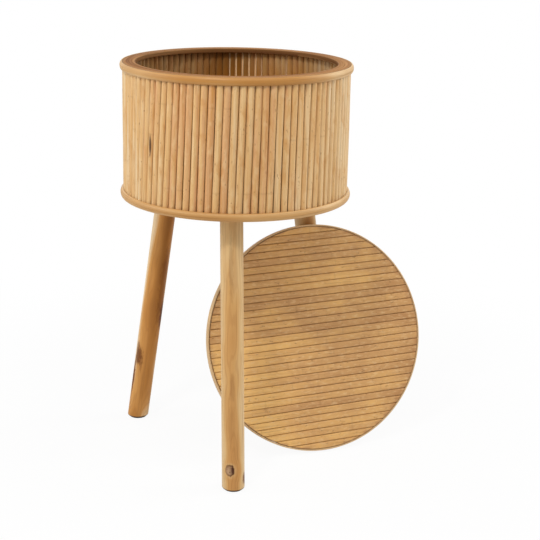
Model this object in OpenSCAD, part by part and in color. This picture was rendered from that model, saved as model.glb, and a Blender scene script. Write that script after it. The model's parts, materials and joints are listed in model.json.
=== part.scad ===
// Round storage table for a child's room, with its lid taken off and leaned on a leg.
// A drum of upright rods stands on three splayed round legs. The drum's base is the
// storage floor, and its mouth takes the lid's locating disc when the table is closed.
// The origin is on the floor, under the middle of the table and the leaning lid.

/* [Overall] */
// Diameter of the drum's mouth, which the lid's locating disc drops into
mouth_d = 294; // [250:1:340]
// Height of the top rim above the floor
table_h = 594; // [540:1:680]
// Height of the drum, from the underside of its base to the top rim
drum_h = 198; // [150:1:220]

/* [Drum wall] */
// Diameter of one wall rod
rod_d = 10.4; // [8:0.1:13]
// Least gap left between two neighbouring rods
rod_gap = 0.1; // [0.1:0.05:1]

/* [Rim] */
// How far the flat ring reaches inwards past the rods
ring_lip = 8.9; // [4:0.1:14]
// Thickness of the flat ring that caps the rods
ring_t = 6; // [4:0.5:9]
// Rounding along the ring's upper edge at the mouth
mouth_round = 1; // [0.5:0.1:2]
// Thickness of the half-round hoop at the rim
rim_hoop_t = 3.5; // [3:0.1:6]
// Height of the half-round hoop at the rim
rim_hoop_h = 11; // [9.5:0.5:18]
// How far the face of each hoop bulges
hoop_crown = 2; // [1:0.1:2.5]

/* [Base] */
// Thickness of the base board, the floor of the storage space
base_t = 9; // [6:0.5:15]
// Thickness of the half-round hoop round the base
base_hoop_t = 4.5; // [3:0.1:7]
// Height of the half-round hoop round the base
base_hoop_h = 11.5; // [9:0.5:18]

/* [Legs] */
// Diameter of the round leg
leg_d = 33; // [28:0.5:40]
// Distance from the table's axis to a leg's middle where it meets the base
leg_seat_r = 118; // [100:1:125]
// Distance from the table's axis to the middle of a leg's line on the floor
leg_foot_r = 179.5; // [150:0.5:200]
// How far the front leg's seat stands to the left of the line from the axis to its foot
front_leg_aside = 6.3; // [0:0.1:8]
// Rounding round the level foot
foot_round = 3.2; // [1:0.1:5]
// How far outside the leg's slanting side that rounding starts
foot_ease = 0.4; // [0.2:0.1:1]
// Diameter of the pad under a foot
pad_d = 27; // [14:0.5:27]
// Thickness of the pad under a foot
pad_t = 2; // [1:0.5:4]

/* [Leg fixings] */
// Diameter of the leg bolt
bolt_d = 8; // [6:0.5:8]
// Length of the bolt under its head
bolt_len = 35; // [30:1:45]
// Diameter of the bolt's low round head
bolt_head_d = 16; // [13:0.5:18]
// Height of the bolt's head
bolt_head_h = 4.5; // [3.5:0.1:6]
// Size of the hexagon socket, across its corners
bolt_socket_d = 5.8; // [4:0.1:6]
// Depth of the hexagon socket
bolt_socket_h = 3; // [2:0.1:3.2]
// Diameter of the washer
washer_d = 24; // [20:0.5:28]
// Thickness of the washer
washer_t = 1.6; // [1:0.1:2.5]
// Outer diameter of the insert in the leg's top
insert_d = 12; // [11:0.5:13]
// Length of the insert
insert_len = 20; // [12:1:22]
// How far the insert sits below the leg's level top
insert_sink = 0.5; // [0:0.1:2]
// Depth of the leg's hole past the bolt's tip
bolt_tip_room = 3; // [1:0.5:6]

/* [Lid] */
// Diameter of the lid
lid_d = 350; // [344:1:380]
// Thickness of the lid's board
lid_board_t = 5; // [4:0.5:9]
// Width of one lid slat
slat_w = 10.7; // [8:0.1:16]
// Gap between two lid slats
slat_gap = 0.1; // [0.1:0.05:1]
// Height of a lid slat at its crown
slat_t = 5.5; // [3.5:0.1:8]
// How far the top of a slat bulges
slat_crown = 2.6; // [1:0.1:3]
// How far the slats run askew to the leaning lid's level line, in degrees
slat_skew = 1.5; // [-5:0.5:5]
// Thickness of the strip bent round the lid's edge
band_t = 2.4; // [1.5:0.1:4]
// How far the slats' crowns stand above the strip
band_drop = 0.5; // [0.1:0.1:1.5]
// Thickness of the disc under the lid that locates it in the mouth
locator_t = 6; // [4:0.5:8]
// Play all round between the locating disc and the mouth
locator_play = 2; // [1:0.5:5]
// Bevel that leads the locating disc into the mouth
locator_bevel = 1.5; // [0.5:0.1:3]

/* [Lid screws] */
// Shank diameter of the countersunk screw
screw_d = 3.5; // [3:0.1:4]
// Length of the screw with its head
screw_len = 9.5; // [8:0.5:10]
// Diameter of the countersunk head
screw_head_d = 7; // [6:0.1:8]
// Distance from the lid's middle to each screw
screw_r = 110; // [60:1:120]

/* [Leaning lid] */
// Angle that the lid leans back from upright, in degrees
lean_back = 15.4; // [12:0.1:20]
// Angle that the lid faces away from the front, in degrees
lean_turn = 18; // [10:1:30]
// Distance from the leg that carries the lid to the lid's middle, along the lid
lean_side = -5.5; // [-20:0.5:20]
// Clearance between the lid's back edge and that leg
lean_gap = 0.3; // [0.2:0.1:1]

/* [Fits] */
// Clearance where one round face sits in another
seat_gap = 0.2; // [0.1:0.05:0.4]
// Clearance between a bolt or screw and its hole
hole_gap = 0.3; // [0.2:0.05:0.6]

/* [Hidden] */
$fn = 96;

// The drum, worked out from its mouth outwards
mouth_r = mouth_d / 2;
rod_circle_r = mouth_r + ring_lip + rod_d / 2;
wall_r = rod_circle_r + rod_d / 2;
rim_r = wall_r + seat_gap + rim_hoop_t;
base_z = table_h - drum_h;
floor_z = base_z + base_t;
ring_z = table_h - ring_t;
rod_count = floor(180 / asin((rod_d + rod_gap) / 2 / rod_circle_r));
ROD_GROUPS = 12;

// The legs stand a third of a turn apart, one of them at the front
LEG_COUNT = 3;
FRONT = -90;
REAR_RIGHT = FRONT + 360 / LEG_COUNT;
REAR_LEFT = REAR_RIGHT + 360 / LEG_COUNT;
LEG_TURNS = [FRONT, REAR_RIGHT, REAR_LEFT];
leg_r = leg_d / 2;
leg_slope = (leg_foot_r - leg_seat_r) / base_z;
splay = atan(leg_slope);
function leg_aside(turn) = turn == FRONT ? -front_leg_aside : 0;
foot_top_z = pad_t + foot_round;
foot_middle_r = leg_foot_r - leg_slope * foot_top_z;
foot_reach = leg_r / cos(splay);
foot_round_r = foot_reach + foot_ease - foot_round;
bolt_r = bolt_d / 2;
insert_hole_h = bolt_len - base_t - washer_t + bolt_tip_room;

// The lid in its own frame: its back is at height 0 and its slats face up
lid_r = lid_d / 2;
slab_r = lid_r - band_t - seat_gap;
band_h = lid_board_t + slat_t - band_drop;
slat_pitch = slat_w + slat_gap;
slat_count = 2 * ceil(slab_r / slat_pitch);
SLAT_GROUPS = 4;
locator_r = mouth_r - locator_play;
SCREW_TURNS = [45, 135, 225, 315];
screw_head_h = (screw_head_d - screw_d) / 2;

// The leaning lid, seen from the table's axis: its level line and its level normal
lean_along = [cos(lean_turn), sin(lean_turn), 0];
lean_out = [sin(lean_turn), -cos(lean_turn), 0];
lean_up = [-sin(lean_back) * sin(lean_turn), sin(lean_back) * cos(lean_turn), cos(lean_back)];
lid_middle_z = lid_r * cos(lean_back);
lid_top_z = 2 * lid_middle_z;

// The line down the middle of the leg that carries the lid
function leg_point(turn, z) =
  let (r = leg_foot_r - leg_slope * z) [r * cos(turn), r * sin(turn), z];
leg_line = leg_point(REAR_RIGHT, base_z) - leg_point(REAR_RIGHT, 0);
leg_way = leg_line / norm(leg_line);

// The lid's middle when it stands a given distance out from that leg
function lid_middle(out) =
  let (at = leg_point(REAR_RIGHT, lid_top_z) + lean_along * lean_side + lean_out * out)
  [at[0], at[1], lid_middle_z];

// The gap between the lid's back edge and the leg, tried along the upper part of that edge
UPPER_EDGE = [60:0.25:120];
function lean_gap_at(out) =
  min([for (t = UPPER_EDGE)
    let (edge = lid_middle(out) + lid_r * (cos(t) * lean_along + sin(t) * lean_up))
    norm(cross(edge - leg_point(REAR_RIGHT, 0), leg_way))]) - leg_r;

// Halving finds the distance at which that gap is the one asked for
function settle(low, high, turns) =
  let (middle = (low + high) / 2)
  turns == 0 ? middle :
  lean_gap_at(middle) < lean_gap ? settle(middle, high, turns - 1) : settle(low, middle, turns - 1);
nearest_out = lid_r * sin(lean_back);
HALVINGS = 30;
lid_at = lid_middle(settle(nearest_out, nearest_out + 2 * leg_d, HALVINGS));

// How far the whole reaches from the table's axis, and so where that axis stands
face_x = sin(lean_turn) * cos(lean_back);
leg_reach_x = foot_middle_r * cos(REAR_RIGHT) + foot_reach;
base_hoop_r = wall_r + seat_gap + base_hoop_t;
left_reach = max(base_hoop_r, rim_r, leg_reach_x);
right_reach = max(left_reach, lid_at[0] + lid_r * sqrt(1 - face_x * face_x) + band_h * face_x);
front_reach = max(base_hoop_r, rim_r, foot_middle_r + foot_reach);
back_reach = max(base_hoop_r, rim_r);
table_x = (left_reach - right_reach) / 2;
table_y = (front_reach - back_reach) / 2;

CUT = 1; // how far a cut, or a shape joined to another, runs past the face between them

// Colours
rod_colour = [0.85, 0.68, 0.44];
hoop_colour = [0.80, 0.60, 0.34];
ring_colour = [0.62, 0.42, 0.26];
board_colour = [0.78, 0.62, 0.42];
leg_colour = [0.80, 0.56, 0.30];
slat_colour = [0.76, 0.56, 0.34];
pad_colour = [0.13, 0.12, 0.11];
steel_colour = [0.72, 0.72, 0.74];

// Placing

module on_table() { translate([table_x, table_y, 0]) children(); }

module at_leg(turn) { on_table() rotate([0, 0, turn]) children(); }

module at_seat(turn, z) { at_leg(turn) translate([leg_seat_r, leg_aside(turn), z]) children(); }

module at_each_seat(z) { for (turn = LEG_TURNS) at_seat(turn, z) children(); }

module on_lid() {
  on_table() translate(lid_at) rotate([0, 0, lean_turn]) rotate([90 - lean_back, 0, 0]) children();
}

// Shapes used more than once

// Outline of a half-round strip: flat at x = 0, bulging to x = thick, from y = 0 up
module half_round(thick, tall, crown) {
  bulge_r = (tall * tall / 4 + crown * crown) / (2 * crown);
  intersection() {
    square([thick, tall]);
    translate([thick - bulge_r, tall / 2]) circle(r = bulge_r);
  }
}

module hoop(inner_r, thick, tall) {
  rotate_extrude() translate([inner_r, 0]) half_round(thick, tall, hoop_crown);
}

// Drum

module base_board() {
  color(board_colour) difference() {
    on_table() translate([0, 0, base_z]) cylinder(r = wall_r, h = base_t);
    at_each_seat(base_z - CUT) cylinder(r = bolt_r + hole_gap, h = base_t + 2 * CUT);
  }
}

module base_hoop() {
  color(hoop_colour) on_table() translate([0, 0, base_z])
    hoop(wall_r + seat_gap, base_hoop_t, base_hoop_h);
}

// The flat ring lies on the rods' ends, and its upper edge is eased at the mouth
module rim_ring() {
  color(ring_colour) on_table() translate([0, 0, ring_z]) rotate_extrude() {
    translate([mouth_r + mouth_round, 0]) square([wall_r - mouth_r - mouth_round, ring_t]);
    translate([mouth_r, 0]) square([mouth_round + CUT, ring_t - mouth_round]);
    translate([mouth_r + mouth_round, ring_t - mouth_round]) circle(r = mouth_round);
  }
}

module rim_hoop() {
  color(hoop_colour) on_table() translate([0, 0, table_h - rim_hoop_h])
    hoop(wall_r + seat_gap, rim_hoop_t, rim_hoop_h);
}

// A twelfth of the wall: rods that stand on the base board and carry the ring
module wall_rods(group) {
  first = floor(group * rod_count / ROD_GROUPS);
  last = floor((group + 1) * rod_count / ROD_GROUPS) - 1;
  color(rod_colour) on_table() for (i = [first:last])
    rotate([0, 0, FRONT + (i + 0.5) * 360 / rod_count]) translate([rod_circle_r, 0, floor_z])
      cylinder(d = rod_d, h = ring_z - floor_z);
}

// Legs

// What is taken off round a level foot to round its edge
module foot_rounding() {
  translate([foot_middle_r, 0, 0]) rotate_extrude() difference() {
    translate([foot_round_r, pad_t - CUT]) square([leg_d, foot_round + CUT]);
    translate([foot_round_r, foot_top_z]) circle(r = foot_round);
  }
}

// A leaning round pole, cut level under the base and at the foot, and bored for its insert
module leg(turn) {
  side_lean = atan(leg_aside(turn) * cos(splay) / base_z);
  color(leg_colour) difference() {
    at_leg(turn) intersection() {
      translate([leg_foot_r, 0, 0]) rotate([-side_lean, -splay, 0])
        translate([0, 0, -leg_d]) cylinder(r = leg_r, h = base_z / cos(splay) + 2 * leg_d);
      translate([leg_seat_r - leg_d, -leg_d, pad_t])
        cube([leg_foot_r - leg_seat_r + 2 * leg_d, 2 * leg_d, base_z - pad_t]);
    }
    at_leg(turn) foot_rounding();
    at_seat(turn, base_z - insert_hole_h)
      cylinder(r = insert_d / 2 + hole_gap, h = insert_hole_h + CUT);
  }
}

module foot_pad(turn) {
  color(pad_colour) at_leg(turn) translate([foot_middle_r, 0, 0]) cylinder(d = pad_d, h = pad_t);
}

// Leg fixings: a bolt through the base board into an insert in each leg's level top

module leg_inserts() {
  color(steel_colour) at_each_seat(base_z - insert_sink - insert_len) difference() {
    cylinder(d = insert_d, h = insert_len);
    translate([0, 0, -CUT]) cylinder(r = bolt_r + hole_gap, h = insert_len + 2 * CUT);
  }
}

module leg_washers() {
  color(steel_colour) at_each_seat(floor_z) difference() {
    cylinder(d = washer_d, h = washer_t);
    translate([0, 0, -CUT]) cylinder(r = bolt_r + hole_gap, h = washer_t + 2 * CUT);
  }
}

module leg_bolts() {
  color(steel_colour) at_each_seat(floor_z + washer_t) difference() {
    union() {
      translate([0, 0, -bolt_len]) cylinder(r = bolt_r, h = bolt_len);
      rotate_extrude() intersection() {
        square([bolt_head_d / 2, bolt_head_h]);
        translate([0, bolt_head_h - bolt_head_d]) circle(r = bolt_head_d);
      }
    }
    translate([0, 0, bolt_head_h - bolt_socket_h])
      cylinder(d = bolt_socket_d, h = bolt_socket_h + CUT, $fn = 6);
  }
}

// Lid

module lid_board() {
  color(board_colour) on_lid() difference() {
    cylinder(r = slab_r, h = lid_board_t);
    for (turn = SCREW_TURNS) rotate([0, 0, turn]) translate([screw_r, 0, -CUT])
      cylinder(d = screw_d + hole_gap, h = screw_len - locator_t + 2 * CUT);
  }
}

// A quarter of the slats, trimmed to the round board
module lid_slats(group) {
  first = floor(group * slat_count / SLAT_GROUPS);
  last = floor((group + 1) * slat_count / SLAT_GROUPS) - 1;
  color(slat_colour) on_lid() intersection() {
    rotate([0, 0, slat_skew]) for (i = [first:last])
      translate([-lid_r, (i - slat_count / 2) * slat_pitch + slat_gap / 2 + slat_w, lid_board_t])
        rotate([90, 0, 90]) linear_extrude(lid_d) rotate(90) half_round(slat_t, slat_w, slat_crown);
    translate([0, 0, lid_board_t]) cylinder(r = slab_r, h = slat_t);
  }
}

module lid_edge_band() {
  color(hoop_colour) on_lid() difference() {
    cylinder(r = lid_r, h = band_h);
    translate([0, 0, -CUT]) cylinder(r = slab_r + seat_gap, h = band_h + 2 * CUT);
  }
}

module lid_locating_disc() {
  color(board_colour) on_lid() translate([0, 0, -locator_t]) difference() {
    union() {
      cylinder(r1 = locator_r - locator_bevel, r2 = locator_r, h = locator_bevel);
      translate([0, 0, locator_bevel]) cylinder(r = locator_r, h = locator_t - locator_bevel);
    }
    for (turn = SCREW_TURNS) rotate([0, 0, turn]) translate([screw_r, 0, 0]) {
      translate([0, 0, -CUT]) cylinder(d = screw_d + hole_gap, h = locator_t + 2 * CUT);
      cylinder(d1 = screw_head_d + hole_gap, d2 = screw_d + hole_gap, h = screw_head_h);
    }
  }
}

module lid_screws() {
  color(steel_colour) on_lid() for (turn = SCREW_TURNS)
    rotate([0, 0, turn]) translate([screw_r, 0, -locator_t]) {
      cylinder(d1 = screw_head_d, d2 = screw_d, h = screw_head_h);
      cylinder(d = screw_d, h = screw_len);
    }
}

base_board();
base_hoop();
rim_ring();
rim_hoop();
wall_rods(0);  // wall_rods_01
wall_rods(1);  // wall_rods_02
wall_rods(2);  // wall_rods_03
wall_rods(3);  // wall_rods_04
wall_rods(4);  // wall_rods_05
wall_rods(5);  // wall_rods_06
wall_rods(6);  // wall_rods_07
wall_rods(7);  // wall_rods_08
wall_rods(8);  // wall_rods_09
wall_rods(9);  // wall_rods_10
wall_rods(10);  // wall_rods_11
wall_rods(11);  // wall_rods_12
leg(FRONT);  // leg_front
leg(REAR_RIGHT);  // leg_rear_right
leg(REAR_LEFT);  // leg_rear_left
foot_pad(FRONT);  // foot_pad_front
foot_pad(REAR_RIGHT);  // foot_pad_rear_right
foot_pad(REAR_LEFT);  // foot_pad_rear_left
leg_inserts();
leg_washers();
leg_bolts();
lid_board();
lid_slats(0);  // lid_slats_1
lid_slats(1);  // lid_slats_2
lid_slats(2);  // lid_slats_3
lid_slats(3);  // lid_slats_4
lid_edge_band();
lid_locating_disc();
lid_screws();
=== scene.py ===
import json
import math
import random

import bmesh
import bpy
from mathutils import Matrix, Vector


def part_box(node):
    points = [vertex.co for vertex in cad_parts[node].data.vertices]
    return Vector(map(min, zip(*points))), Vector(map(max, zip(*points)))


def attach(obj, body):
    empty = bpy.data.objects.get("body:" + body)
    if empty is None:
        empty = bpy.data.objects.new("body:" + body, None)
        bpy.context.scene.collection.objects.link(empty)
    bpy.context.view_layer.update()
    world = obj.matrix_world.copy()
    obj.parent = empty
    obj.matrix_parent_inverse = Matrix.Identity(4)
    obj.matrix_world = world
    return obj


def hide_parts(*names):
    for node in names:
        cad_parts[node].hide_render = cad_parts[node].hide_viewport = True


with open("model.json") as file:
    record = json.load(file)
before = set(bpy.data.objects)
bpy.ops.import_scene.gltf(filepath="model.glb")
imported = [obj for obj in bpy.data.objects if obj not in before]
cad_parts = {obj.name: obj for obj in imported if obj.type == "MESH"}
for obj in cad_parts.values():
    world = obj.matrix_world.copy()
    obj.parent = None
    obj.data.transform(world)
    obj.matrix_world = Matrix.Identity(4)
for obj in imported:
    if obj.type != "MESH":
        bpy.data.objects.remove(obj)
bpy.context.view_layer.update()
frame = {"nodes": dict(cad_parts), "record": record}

# A round storage table for a child's room: a drum of upright sticks on three splayed legs,
# with its slatted lid taken off and leaned on the rear right leg. Everything is in metres.
MM = 0.001

# The drum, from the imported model
MOUNTS = {mount["name"]: mount for mount in frame["record"]["mounts"]}
AXIS = Vector((*MOUNTS["drum_mouth"]["pos_m"][:2], 0))
MOUTH_R = MOUNTS["drum_mouth"]["dims"]["r_mm"] * MM
ring_low, ring_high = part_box("rim_ring")
RING_Z, TOP_Z = ring_low.z, ring_high.z
WALL_R = (ring_high.x - ring_low.x) / 2
board_low, board_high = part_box("base_board")
BASE_Z, FLOOR_Z = board_low.z, board_high.z

# The wall's sticks
STICK_COUNT = 96
STICK_GROUPS = 12
STICK_R = 5.2 * MM
STICK_CIRCLE_R = WALL_R - STICK_R
STICK_MID_Z = (FLOOR_Z + RING_Z) / 2
FRONT = -90

# Where the bent pieces' ends meet, in degrees round each piece
RING_JOINT, RIM_JOINT, BASE_JOINT, STRIP_JOINT = 50, 70, 115, -60
# A bent strip stops just short of a whole turn, at its butt joint
BENT_TURN = 359.9
SPIN_STEPS = 240
# How far outside the wall each hoop is tallest
RIM_SWELL = 0.7 * MM
BASE_SWELL = 1.1 * MM

# The legs: their lines run from the seat under the base to the foot
LEG_R = 16.5 * MM
LEG_SEAT_R = 118 * MM
LEG_FOOT_R = 179.5 * MM
LEG_SLOPE = (LEG_FOOT_R - LEG_SEAT_R) / BASE_Z
SPLAY = math.atan(LEG_SLOPE)
PAD_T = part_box("foot_pad_front")[1].z
FOOT_ROUND = 2.1 * MM
LEG_TURNS = {"front": -90, "rear_right": 30, "rear_left": 150}
# The front leg's seat stands a little to the left of the line from the axis to its foot
SEAT_ASIDE = {"front": -6.3 * MM, "rear_right": 0.0, "rear_left": 0.0}

# The lid, in its own frame: its back lies at height 0 and its slats face up
LID_R = 175 * MM
LID_BOARD_T = 5 * MM
BAND_T = 2.4 * MM
BAND_H = 10 * MM
SEAT_GAP = 0.2 * MM
SLATS_R = LID_R - BAND_T - SEAT_GAP
SLAT_COUNT = 32
SLAT_GROUPS = 4
SLAT_W = 10.7 * MM
SLAT_PITCH = 10.8 * MM
SLAT_T = 5.5 * MM
SLAT_SKEW = math.radians(1.5)
LOCATOR_T = 6 * MM
LEAN_BACK = math.radians(15.4)
LEAN_TURN = math.radians(18)
LID_TILT = Matrix.Rotation(LEAN_TURN, 4, "Z") @ Matrix.Rotation(math.pi / 2 - LEAN_BACK, 4, "X")
lid_low, lid_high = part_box("lid_board")
LID_BACK = (lid_low + lid_high) / 2 - LID_TILT.to_3x3() @ Vector((0, 0, LID_BOARD_T / 2))
LID_PLACE = Matrix.Translation(LID_BACK) @ LID_TILT


# Modelling by hand: each step starts from what is selected, so the selection is made in code

def begin(primitive, **measures):
    """Adds a primitive with nothing else selected, keeps its place in its mesh and opens it."""
    bpy.ops.object.select_all(action="DESELECT")
    primitive(**measures)
    piece = bpy.context.object
    bpy.ops.object.transform_apply(location=True, rotation=True, scale=True)
    bpy.ops.object.mode_set(mode="EDIT")
    return piece


def pick(piece, kind, wanted):
    """Selects the vertices, edges or faces whose middle is wanted, and nothing else."""
    bpy.ops.mesh.select_all(action="DESELECT")
    bpy.ops.mesh.select_mode(type=kind)
    shape = bmesh.from_edit_mesh(piece.data)
    if kind == "VERT":
        for corner in shape.verts:
            corner.select_set(wanted(corner.co))
    elif kind == "EDGE":
        for edge in shape.edges:
            edge.select_set(wanted((edge.verts[0].co + edge.verts[1].co) / 2))
    else:
        for face in shape.faces:
            face.select_set(wanted(face.calc_center_median()))
    bmesh.update_edit_mesh(piece.data)


def oblong(at, wide, tall):
    """Begins an upright oblong, the section of a ring or strip."""
    piece = begin(bpy.ops.mesh.primitive_plane_add, size=1, location=at, rotation=(math.pi / 2, 0, 0))
    bpy.ops.transform.resize(value=(wide, 1, tall), center_override=at)
    return piece


def spun(centre, degrees):
    """Spins the opened section round an upright line through the centre."""
    bpy.ops.mesh.select_all(action="SELECT")
    bpy.ops.mesh.spin(steps=SPIN_STEPS, angle=math.radians(degrees), center=centre, axis=(0, 0, 1))


def close(piece, name, smooth):
    """Points all faces outwards, leaves edit mode and smooths edges that turn less than this."""
    bpy.ops.mesh.select_all(action="SELECT")
    bpy.ops.mesh.normals_make_consistent(inside=False)
    bpy.ops.object.mode_set(mode="OBJECT")
    bpy.ops.object.shade_smooth_by_angle(angle=math.radians(smooth))
    piece.name = name
    piece.data.name = name
    return piece


def place(piece, matrix):
    """Moves a piece by moving its mesh, so that its object stays at the origin."""
    piece.data.transform(matrix)
    return piece


def copied(piece, matrix):
    """A copy with its own mesh, moved to its place."""
    twin = piece.copy()
    twin.data = piece.data.copy()
    bpy.context.collection.objects.link(twin)
    return place(twin, matrix)


def joined(parts, name):
    """Makes one piece of several."""
    bpy.ops.object.select_all(action="DESELECT")
    for part in parts:
        part.select_set(True)
    bpy.context.view_layer.objects.active = parts[0]
    bpy.ops.object.join()
    parts[0].name = name
    parts[0].data.name = name
    return parts[0]


def removed(pieces):
    """Throws away masters and cutters that have done their work."""
    for piece in pieces:
        bpy.data.objects.remove(piece, do_unlink=True)


def cut_by(cutter, piece, operation):
    """Cuts a piece with another one, which is then thrown away."""
    bpy.ops.object.mode_set(mode="OBJECT")
    cut = piece.modifiers.new("cut", "BOOLEAN")
    cut.operation = operation
    cut.solver = "EXACT"
    cut.object = cutter
    bpy.ops.object.select_all(action="DESELECT")
    piece.select_set(True)
    bpy.context.view_layer.objects.active = piece
    bpy.ops.object.modifier_apply(modifier=cut.name)
    removed([cutter])


def polar(turn, out=1.0, height=0.0):
    """A spot given by its turn round the Z axis, its distance from it and its height."""
    return Vector((out * math.cos(turn), out * math.sin(turn), height))


def sections(start, end, steps, nodes, beside):
    """Where a strip's sections stand: evenly spaced, with more of them at its nodes."""
    levels = {round(start + step / steps * (end - start), 5) for step in range(steps + 1)}
    for node in nodes:
        levels |= {round(node + side * beside, 5) for side in (-1, 0, 1)}
    return sorted(levels)


def nearness(at, nodes, reach):
    """1 at a node, falling to 0 beyond its reach."""
    return max([math.exp(-((at - node) / reach) ** 2) for node in nodes], default=0.0)


def numbers_in(group, groups, count):
    """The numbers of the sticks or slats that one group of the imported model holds."""
    return range(group * count // groups, (group + 1) * count // groups)


def chosen_tone(luck, usual, scatter, more=0.0):
    """A stick's or slat's own tone between 0, dark, and 1, pale."""
    return min(1.0, max(0.0, luck.gauss(usual, scatter) + more))


def note(piece, name, value):
    """Writes a number on every vertex, for the materials to read."""
    marks = piece.data.attributes.new(name, "FLOAT", "POINT")
    for corner in piece.data.vertices:
        marks.data[corner.index].value = value(corner.co) if callable(value) else value


def kept(piece, body, slot, material, *nodes):
    """Gives a new piece its finish, its body and the CAD nodes that it stands for."""
    piece.data.materials.clear()
    piece.data.materials.append(material)
    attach(piece, body)
    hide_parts(*nodes)


def finish_node(name, material):
    """Gives a carried-over CAD node its finish."""
    for slot in frame["nodes"][name].material_slots:
        slot.material = material


# Building materials

def add(tree, kind, settings=None, inputs=None):
    """Adds a shader node with its settings, and sets or links its inputs."""
    made = tree.nodes.new("ShaderNode" + kind)
    for key, value in (settings or {}).items():
        setattr(made, key, value)
    for key, value in (inputs or {}).items():
        if isinstance(value, bpy.types.NodeSocket):
            tree.links.new(value, made.inputs[key])
        else:
            made.inputs[key].default_value = value
    return made


def calc(tree, operation, a, b=0.0):
    """A number worked out from one or two others."""
    return add(tree, "Math", {"operation": operation}, {0: a, 1: b}).outputs[0]


def times(tree, a, b):
    """Two numbers multiplied."""
    return calc(tree, "MULTIPLY", a, b)


def plus(tree, a, b):
    """Two numbers added."""
    return calc(tree, "ADD", a, b)


def swing(tree, value, amount):
    """Turns a number between 0 and 1 into one that swings round 0."""
    return times(tree, calc(tree, "SUBTRACT", value, 0.5), amount)


def spread(tree, value, low, high, new_low=0.0, new_high=1.0):
    """Spreads a range of values over a new one, and holds what lies outside at its ends."""
    return add(tree, "MapRange", {"interpolation_type": "SMOOTHSTEP"},
               {"Value": value, "From Min": low, "From Max": high,
                "To Min": new_low, "To Max": new_high}).outputs["Result"]


def growing(tree, value, low, high, most):
    """A share that grows from 0 to its most as a value goes from low to high."""
    return times(tree, spread(tree, value, low, high), most)


def scaled(tree, vector, scale):
    """A place with each direction stretched by its own factor."""
    return add(tree, "Mapping", None, {"Vector": vector, "Scale": scale}).outputs[0]


def part_of(tree, vector, axis):
    """One of a place's three numbers."""
    return add(tree, "SeparateXYZ", None, {"Vector": vector}).outputs[axis]


def way(tree, operation, a, b):
    """A place or a way worked out from two others."""
    return add(tree, "VectorMath", {"operation": operation}, {0: a, 1: b}).outputs["Vector"]


def reach(tree, operation, a, b=(0, 0, 0)):
    """A length worked out from one or two ways."""
    return add(tree, "VectorMath", {"operation": operation}, {0: a, 1: b}).outputs["Value"]


def level_reach(tree, vector):
    """How far a place lies from the Z axis."""
    return reach(tree, "LENGTH", scaled(tree, vector, (1, 1, 0)))


def noise(tree, at, across, along, detail=3.0, roughness=0.6, distortion=0.0):
    """Soft random variation from 0 to 1, with its fineness across and along the grain."""
    return add(tree, "TexNoise", None, {
        "Vector": scaled(tree, at, (across, across, along)), "Scale": 1.0, "Detail": detail,
        "Roughness": roughness, "Distortion": distortion}).outputs[0]


def tones(tree, value, stops):
    """Turns a number into a colour along a row of tones."""
    made = add(tree, "ValToRGB", None, {"Fac": value})
    ramp = made.color_ramp
    while len(ramp.elements) < len(stops):
        ramp.elements.new(0.5)
    for element, (position, colour) in zip(ramp.elements, stops):
        element.position = position
        element.color = (*colour, 1)
    return made.outputs["Color"]


def mixed(tree, amount, first, second):
    """Mixes two colours."""
    made = tree.nodes.new("ShaderNodeMix")
    made.data_type = "RGBA"
    for socket, value in ((made.inputs[0], amount), (made.inputs[6], first), (made.inputs[7], second)):
        if isinstance(value, bpy.types.NodeSocket):
            tree.links.new(value, socket)
        elif isinstance(value, (int, float)):
            socket.default_value = value
        else:
            socket.default_value = (*value, 1)
    return made.outputs[2]


def painted(tree, colour, over, value, low, high, most=1.0):
    """Lays a second colour over the first as a value goes from low to high."""
    return mixed(tree, growing(tree, value, low, high, most), colour, over)


def attribute(tree, name):
    """A number that was written on the piece."""
    return add(tree, "Attribute", {"attribute_name": name}).outputs["Fac"]


# How much light each finish throws back like lacquer
SHEEN = 0.32
INSIDE_SHEEN = 0.06
RING_SHEEN = 0.08
LEG_SHEEN = 0.20
STEEL_SHEEN = 0.5


def started(name, sheen=SHEEN):
    """A new material, its tree and its shader."""
    material = bpy.data.materials.new(name)
    material.use_nodes = True
    tree = material.node_tree
    shader = tree.nodes["Principled BSDF"]
    shader.inputs["Specular IOR Level"].default_value = sheen
    return material, tree, shader


def ended(tree, shader, colour, fibres, roughness, strength, depth):
    """Links the colour, and the roughness and the relief that follow the fibres."""
    relief = add(tree, "Bump", None, {"Height": fibres, "Strength": strength, "Distance": depth})
    tree.links.new(colour, shader.inputs["Base Color"])
    tree.links.new(spread(tree, fibres, 0.3, 0.7, *roughness), shader.inputs["Roughness"])
    tree.links.new(relief.outputs["Normal"], shader.inputs["Normal"])


def framed(tree, at, matrix):
    """Places seen from a frame of their own."""
    turn = matrix.to_euler("XYZ")
    return add(tree, "Mapping", {"vector_type": "TEXTURE"},
               {"Vector": at, "Location": matrix.translation, "Rotation": turn}).outputs[0]


def here(tree, matrix=Matrix()):
    """Places on the piece, seen from a frame such as the leaning lid's or a leg's."""
    return framed(tree, add(tree, "TexCoord").outputs["Object"], matrix)


def bent(tree, at, radius):
    """Unrolls places round the Z axis, so that the grain runs round with a bent strip."""
    turn = calc(tree, "ARCTAN2", part_of(tree, at, "Y"), part_of(tree, at, "X"))
    return add(tree, "CombineXYZ", None, {"X": level_reach(tree, at), "Y": part_of(tree, at, "Z"),
               "Z": times(tree, turn, radius)}).outputs[0]


def turned_to(joint_turn):
    """Turns a bent piece's frame so that its grain starts and ends at its joint."""
    return Matrix.Rotation(math.radians(joint_turn) + math.pi, 4, "Z")


def along_x(tree, at):
    """Turns places so that the grain, which runs along Z, lies along X instead."""
    return add(tree, "Mapping", {"vector_type": "TEXTURE"},
               {"Vector": at, "Rotation": (0, math.pi / 2, 0)}).outputs[0]


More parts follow.
